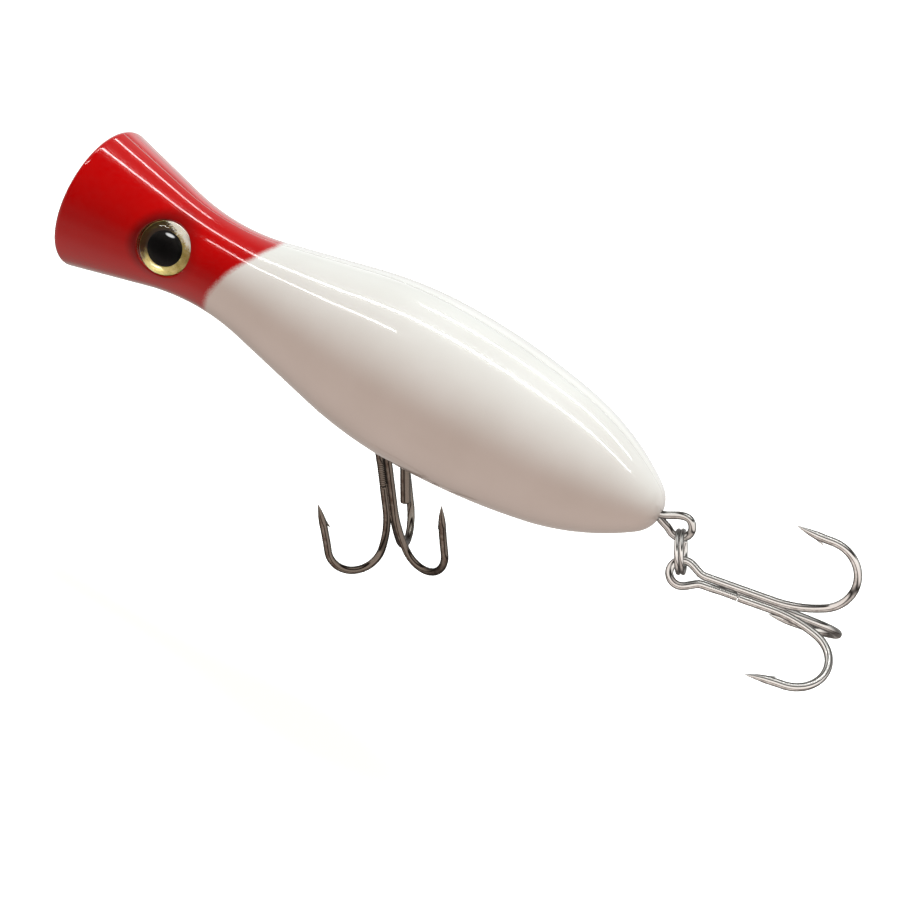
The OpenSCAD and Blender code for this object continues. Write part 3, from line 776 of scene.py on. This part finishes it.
def gold_foil():
    """Mottled gold foil with a faint painted glow, painted shade on the side of the mouth and a painted highlight on
    the side of the back.
    """
    m = Nodes("gold_foil")
    u, w = eye_offset(m)
    blot = m.span(m.noise(0.9, 5, 0.65), 0.32, 0.68, smooth=True)
    fine = m.span(m.noise(4.0, 4, 0.7), 0.3, 0.7)
    colour = m.mix(blot, (0.62, 0.42, 0.06, 1), (0.90, 0.66, 0.22, 1))
    colour = m.mix(m.math("MULTIPLY", fine, 0.35), colour, (1.0, 0.85, 0.50, 1))
    # Painted shade: the foil darkens towards the mouth and above, for the socket's shadow.
    front = m.math("SUBTRACT", m.math("MULTIPLY", w, 0.5), m.math("MULTIPLY", u, 0.87))
    shade = m.span(m.math("ADD", front, m.span(blot, 0, 1, -0.6, 0.6)), 0.0, 1.8, smooth=True)
    colour = m.mix(m.math("MULTIPLY", shade, 0.96), colour, (0.03, 0.008, 0.004, 1))
    # Painted highlight: a silver glint towards the back, for the overhead light reflected in the dome.
    back = m.math("ADD", m.math("MULTIPLY", w, 0.87), m.math("MULTIPLY", u, 0.5))
    glint = m.span(m.math("ADD", back, m.span(fine, 0, 1, -0.6, 0.6)), 2.2, 2.9, smooth=True)
    colour = m.mix(m.math("MULTIPLY", glint, 0.95), colour, (0.95, 0.90, 0.84, 1))
    shader = m.add("ShaderNodeBsdfPrincipled")
    m.feed(shader, "Base Color", colour)
    m.feed(shader, "Metallic", 0.25)
    m.feed(shader, "Roughness", m.span(fine, 0, 1, 0.25, 0.5))
    # Painted light: the foil glows faintly, most in the glint.
    m.feed(shader, "Emission Color", colour)
    m.feed(shader, "Emission Strength", m.span(glint, 0, 1, 0.18, 0.6))
    m.feed(shader, "Normal", m.bump(m.noise(2.4, 4, 0.6), 0.5, 0.06))
    return m.finish(shader)


def gloss_black():
    """Gloss black with a painted highlight near its upper edge, for the soft window light that the dome shows."""
    m = Nodes("gloss_black")
    u, w = eye_offset(m)
    # Painted highlight: a soft oval of glow around GLINT_AT, for a window reflected in the dome.
    across = m.math("DIVIDE", m.math("SUBTRACT", u, GLINT_AT[0]), GLINT_HALF[0])
    up = m.math("DIVIDE", m.math("SUBTRACT", w, GLINT_AT[1]), GLINT_HALF[1])
    away = m.math("ADD", m.math("MULTIPLY", across, across), m.math("MULTIPLY", up, up))
    shader = m.add("ShaderNodeBsdfPrincipled")
    m.feed(shader, "Emission Color", (0.9, 0.92, 0.95, 1))
    m.feed(shader, "Emission Strength", m.span(away, 0.25, 1.3, 0.8, 0, smooth=True))
    m.feed(shader, "Base Color", m.mix(m.noise(2.0), (0.002, 0.002, 0.003, 1), (0.006, 0.005, 0.005, 1)))
    m.feed(shader, "Roughness", m.span(m.noise(3.0), 0.3, 0.7, 0.12, 0.2))
    m.feed(shader, "Specular IOR Level", 0.12)
    m.feed(shader, "Normal", m.bump(m.noise(5.0), 0.05, 0.02))
    return m.finish(shader)


def clear_resin():
    """Clear domed resin. Shadow rays pass, so that the foil under it is lit."""
    m = Nodes("clear_resin")
    glass = m.add("ShaderNodeBsdfPrincipled")
    m.feed(glass, "Base Color", (1.0, 0.99, 0.96, 1))
    m.feed(glass, "Transmission Weight", 1.0)
    m.feed(glass, "IOR", 1.5)
    m.feed(glass, "Roughness", m.span(m.noise(1.5, 3), 0.3, 0.7, 0.0, 0.02))
    m.feed(glass, "Normal", m.bump(m.noise(0.6, 2), 0.05, 0.02))
    clear = m.add("ShaderNodeBsdfTransparent")
    path = m.add("ShaderNodeLightPath")
    mix = m.add("ShaderNodeMixShader")
    m.feed(mix, "0", path.outputs["Is Shadow Ray"])
    m.feed(mix, "1", glass)
    m.feed(mix, "2", clear)
    return m.finish(mix)


def give(obj, material):
    obj.data.materials.clear()
    obj.data.materials.append(material)


MATERIALS = {
    "white_paint": paint(),
    "steel_wire": metal("stainless_wire", (0.45, 0.43, 0.40, 1), (0.95, 0.94, 0.91, 1), (0.1, 0.2), 0, 0.3, 0.3),
    "eye_foil": gold_foil(),
    "eye_black": gloss_black(),
    "eye_lens": clear_resin(),
    "steel_ball": metal("polished_ball", (0.40, 0.40, 0.40, 1), (0.85, 0.85, 0.85, 1), (0.05, 0.12), 0, 0.6, 0.2),
    "ballast": metal("cast_ballast", (0.10, 0.10, 0.11, 1), (0.20, 0.20, 0.22, 1), (0.45, 0.7), 0.4, 0.8),
    "nickel_ring": metal("nickel_ring", (0.45, 0.42, 0.39, 1), (1.0, 0.98, 0.95, 1), (0.08, 0.18), 0, 0.3, 0.4),
    "bronzed_hook": metal("bronzed_hook", (0.15, 0.10, 0.075, 1), (0.40, 0.36, 0.31, 1), (0.16, 0.3), 0.3, 0.3, 0.15),
    "nickel_hook": metal("nickel_hook", (0.45, 0.42, 0.39, 1), (1.0, 0.98, 0.95, 1), (0.08, 0.18), 0.1, 0.3, 0.4),
}


# ---------------------------------------------------------------- build the object
for side, name in ((-1, "left_shell"), (1, "right_shell")):
    obj = shell("shell_" + name[:-6], side)
    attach(obj, "body")
    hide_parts(name)
    give(obj, MATERIALS["white_paint"])

LENS_BASE = EYE_FLOOR - 0.32
LENS_H = LENS_BASE + EYE_STAND
LENS_ARC = (EYE_R ** 2 + LENS_H ** 2) / (2 * LENS_H)
for side, mirror in (("left", Matrix.Identity(4)), ("right", MIRROR)):
    place = mirror @ EYE_FRAME
    cap = math.asin(EYE_R / LENS_ARC)
    dome = [(0, -LENS_BASE), (EYE_R - 0.08, -LENS_BASE), (EYE_R - 0.01, -LENS_BASE + 0.03)]
    dome += [
        (LENS_ARC * math.sin(t), EYE_STAND - LENS_ARC + LENS_ARC * math.cos(t))
        for t in np.linspace(cap * 0.985, 0, 40)
    ]
    dome[-1] = (0, dome[-1][1])
    top = -EYE_FLOOR + 0.3
    iris = [
        (PUPIL_R + 0.02, -EYE_FLOOR), (EYE_R - 0.05, -EYE_FLOOR), (EYE_R, -EYE_FLOOR + 0.05),
        (EYE_R, top - 0.05), (EYE_R - 0.05, top), (EYE_R - 0.6, top - 0.02), (PUPIL_R + 0.6, top - 0.06),
        (PUPIL_R + 0.06, top - 0.02), (PUPIL_R + 0.02, top - 0.06), (PUPIL_R + 0.02, -EYE_FLOOR),
    ]
    black = [
        (0, -EYE_FLOOR), (PUPIL_R - 0.04, -EYE_FLOOR), (PUPIL_R, -EYE_FLOOR + 0.04),
        (PUPIL_R, top - 0.05), (PUPIL_R - 0.05, top), (0, top),
    ]
    for kind, profile, slot in (("iris", iris, "eye_foil"), ("pupil", black, "eye_black"), ("lens", dome, "eye_lens")):
        obj = mesh_object(side + "_eye_" + kind, *lathe(profile, place, 128))
        if side == "right":
            obj.data.flip_normals()
        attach(obj, "body")
        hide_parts(side + "_" + kind)
        give(obj, MATERIALS[slot])

wire_parts = [
    screw_eye("line_tie_eye", Matrix.Identity(4), 20, "nose_eye"),
    screw_eye("belly_hook_hanger", shift(BELLY_EYE_X, 0, BELLY_LOOP_Z) @ turn("Y", -90), 5 - BELLY_LOOP_Z, "belly_eye"),
    screw_eye("tail_hook_hanger", shift(TAIL_LOOP_X) @ turn("Z", 180), TAIL_LOOP_X - 90, "tail_eye"),
]
for obj in wire_parts:
    give(obj, MATERIALS["steel_wire"])
give(belly_stub(), MATERIALS["bronzed_hook"])

rings = [
    split_ring("belly_ring_coil", BELLY_RING @ shift(0, 0, -RING_HANG) @ turn("Y", 90), "belly_ring",
               "belly_split_ring", rad(70)),
    split_ring("tail_ring_coil", TAIL_RING @ shift(TAIL_RING_REACH), "tail_ring", "tail_split_ring", rad(110)),
]
for obj in rings:
    give(obj, MATERIALS["nickel_ring"])

for where, matrix, size, slot in (
    ("belly", BELLY_HOOK, BELLY_SIZE, "bronzed_hook"), ("tail", TAIL_HOOK, TAIL_SIZE, "nickel_hook")
):
    body = where + "_treble"
    pair = hook_pair(where + "_treble_pair", matrix, size, body, where + "_hook_pair")
    single = hook_single(where + "_treble_single", matrix, size, body, where + "_hook_single")
    give(pair, MATERIALS[slot])
    give(single, MATERIALS[slot])

slots = {s["node"]: s["material_slot"] for s in frame["record"]["subparts"]}
for name, obj in frame["nodes"].items():
    give(obj, MATERIALS[slots[name]])


# ---------------------------------------------------------------- camera
PSI, EPS, ROLL = 0.279306, rad(27), 0.519846
FOCAL = 2500 / 900
MID = Vector((52.5, 0, 0))
OFFSET = (-12.449, -15.467, 386.12)
xs = Vector((math.cos(PSI), math.sin(PSI) * math.cos(EPS), -math.sin(PSI) * math.sin(EPS)))
ys = Vector((0, math.sin(EPS), math.cos(EPS)))
toward = Vector((math.sin(PSI), -math.cos(PSI) * math.cos(EPS), math.cos(PSI) * math.sin(EPS)))
right = (xs * math.cos(ROLL) + ys * math.sin(ROLL)).normalized()
up = (ys * math.cos(ROLL) - xs * math.sin(ROLL)).normalized()
spot = MID - right * OFFSET[0] + up * OFFSET[1] + toward * OFFSET[2]
camera = bpy.data.objects.new("camera", bpy.data.cameras.new("camera"))
bpy.context.scene.collection.objects.link(camera)
camera.matrix_world = Matrix((
    (right.x, up.x, toward.x, spot.x * MM),
    (right.y, up.y, toward.y, spot.y * MM),
    (right.z, up.z, toward.z, spot.z * MM),
    (0, 0, 0, 1),
))
camera.data.sensor_width = 36
camera.data.lens = 36 * FOCAL
camera.data.clip_start = 0.01
bpy.context.scene.camera = camera


# ---------------------------------------------------------------- floor, world and lights
def light(name, where, aim, length, width, power, colour=(1, 1, 1), along=Vector((1, 0, 0))):
    """A soft strip. Its long side lies along the body."""
    data = bpy.data.lights.new(name, "AREA")
    data.shape = "RECTANGLE"
    data.size, data.size_y = length * MM, width * MM
    data.energy = power
    data.color = colour
    obj = bpy.data.objects.new(name, data)
    bpy.context.scene.collection.objects.link(obj)
    back = (where - aim).normalized()
    x = (along - back * along.dot(back)).normalized()
    y = back.cross(x)
    obj.matrix_world = Matrix((
        (x.x, y.x, back.x, where.x * MM), (x.y, y.y, back.y, where.y * MM),
        (x.z, y.z, back.z, where.z * MM), (0, 0, 0, 1),
    ))
    return obj


OVERHEAD_POWER = 7.2
STRIP_AWAY = 420
STRIPS = ((122, -110, 300, 12, 0.25), (93, -420, 420, 15, 0.65), (65, -480, -130, 12, 0.22))


def around(angle, distance, x=52.5):
    """Place at an angle above the left side, about the body axis."""
    a = rad(angle)
    return Vector((x, -distance * math.cos(a), distance * math.sin(a)))


# Long strips above the lure draw the thin streaks on the lacquer
for angle, start, end, width, power in STRIPS:
    place = around(angle, STRIP_AWAY, (start + end) / 2)
    strip = light("strip_%d" % angle, place, Vector((place.x, 0, 0)), end - start, width, power)
    strip.visible_diffuse = False
overhead = light("overhead", around(95, 900), MID, 700, 220, OVERHEAD_POWER, (0.80, 0.98, 1.0))
overhead.visible_glossy = False

floor = mesh_object("floor", [(-3000, -3000, -62), (3000, -3000, -62), (3000, 3000, -62), (-3000, 3000, -62)], [(0, 1, 2, 3)])
m = Nodes("pale_floor")
ground = m.add("ShaderNodeBsdfPrincipled")
m.feed(ground, "Base Color", (0.9, 0.9, 0.9, 1))
m.feed(ground, "Roughness", m.span(m.noise(0.02), 0.3, 0.7, 0.7, 0.9))
glow = m.add("ShaderNodeEmission")
m.feed(glow, "Color", (1, 1, 1, 1))
m.feed(glow, "Strength", 0.62)
seen = m.add("ShaderNodeAddShader")
m.feed(seen, "0", ground)
m.feed(seen, "1", glow)
clear = m.add("ShaderNodeBsdfTransparent")
pick = m.add("ShaderNodeMixShader")
m.feed(pick, "0", m.add("ShaderNodeLightPath").outputs["Is Camera Ray"])
m.feed(pick, "1", clear)
m.feed(pick, "2", seen)
give(floor, m.finish(pick))

world = bpy.data.worlds.new("studio")
bpy.context.scene.world = world
world.use_nodes = True
tree = world.node_tree
tree.nodes.clear()
out = tree.nodes.new("ShaderNodeOutputWorld")


def world_node(kind, *links):
    node = tree.nodes.new(kind)
    for key, value in links:
        if isinstance(value, bpy.types.NodeSocket):
            tree.links.new(value, node.inputs[key])
        else:
            node.inputs[key].default_value = value
    return node


# What a reflection sees, by the angle about the body: 0 level on the left, 90 straight up
REFLECTED = (
    (-180, (0.80, 0.79, 0.78)), (-140, (0.45, 0.40, 0.37)), (-113, (0.26, 0.23, 0.21)), (-70, (0.36, 0.31, 0.29)),
    (-42, (0.24, 0.21, 0.19)), (-15, (0.09, 0.08, 0.075)), (8, (0.012, 0.012, 0.012)), (80, (0.012, 0.012, 0.012)),
    (98, (0.20, 0.20, 0.20)), (112, (0.13, 0.13, 0.13)), (148, (0.35, 0.35, 0.35)), (162, (0.85, 0.85, 0.85)),
    (180, (0.80, 0.79, 0.78)),
)
ray = world_node("ShaderNodeVectorMath", (0, world_node("ShaderNodeNewGeometry").outputs["Incoming"]), (1, (1, 1, -1)))
ray.operation = "MULTIPLY"
split = world_node("ShaderNodeSeparateXYZ", (0, ray.outputs[0]))
angle = world_node("ShaderNodeMath", (0, split.outputs[2]), (1, split.outputs[1]))
angle.operation = "ARCTAN2"
share = world_node("ShaderNodeMapRange", (0, angle.outputs[0]), (1, -math.pi), (2, math.pi))
ramp = world_node("ShaderNodeValToRGB", (0, share.outputs[0]))
ramp.color_ramp.interpolation = "EASE"
stops = ramp.color_ramp.elements
for k, (degrees, colour) in enumerate(REFLECTED):
    stop = stops[k] if k < 2 else stops.new((degrees + 180) / 360)
    stop.position = (degrees + 180) / 360
    stop.color = colour + (1,)
mirrored = world_node("ShaderNodeBackground", (0, ramp.outputs[0]), (1, 1.0))
fill = world_node("ShaderNodeBackground", (0, (0.58, 0.465, 0.41, 1)), (1, 1.0))
white = world_node("ShaderNodeBackground", (0, (1, 1, 1, 1)), (1, 1.0))
rays = world_node("ShaderNodeLightPath")
lit = world_node("ShaderNodeMixShader", (0, rays.outputs["Is Diffuse Ray"]), (1, mirrored.outputs[0]), (2, fill.outputs[0]))
choose = world_node("ShaderNodeMixShader", (0, rays.outputs["Is Camera Ray"]), (1, lit.outputs[0]), (2, white.outputs[0]))
tree.links.new(choose.outputs[0], out.inputs[0])
bpy.context.scene.view_settings.view_transform = "Standard"
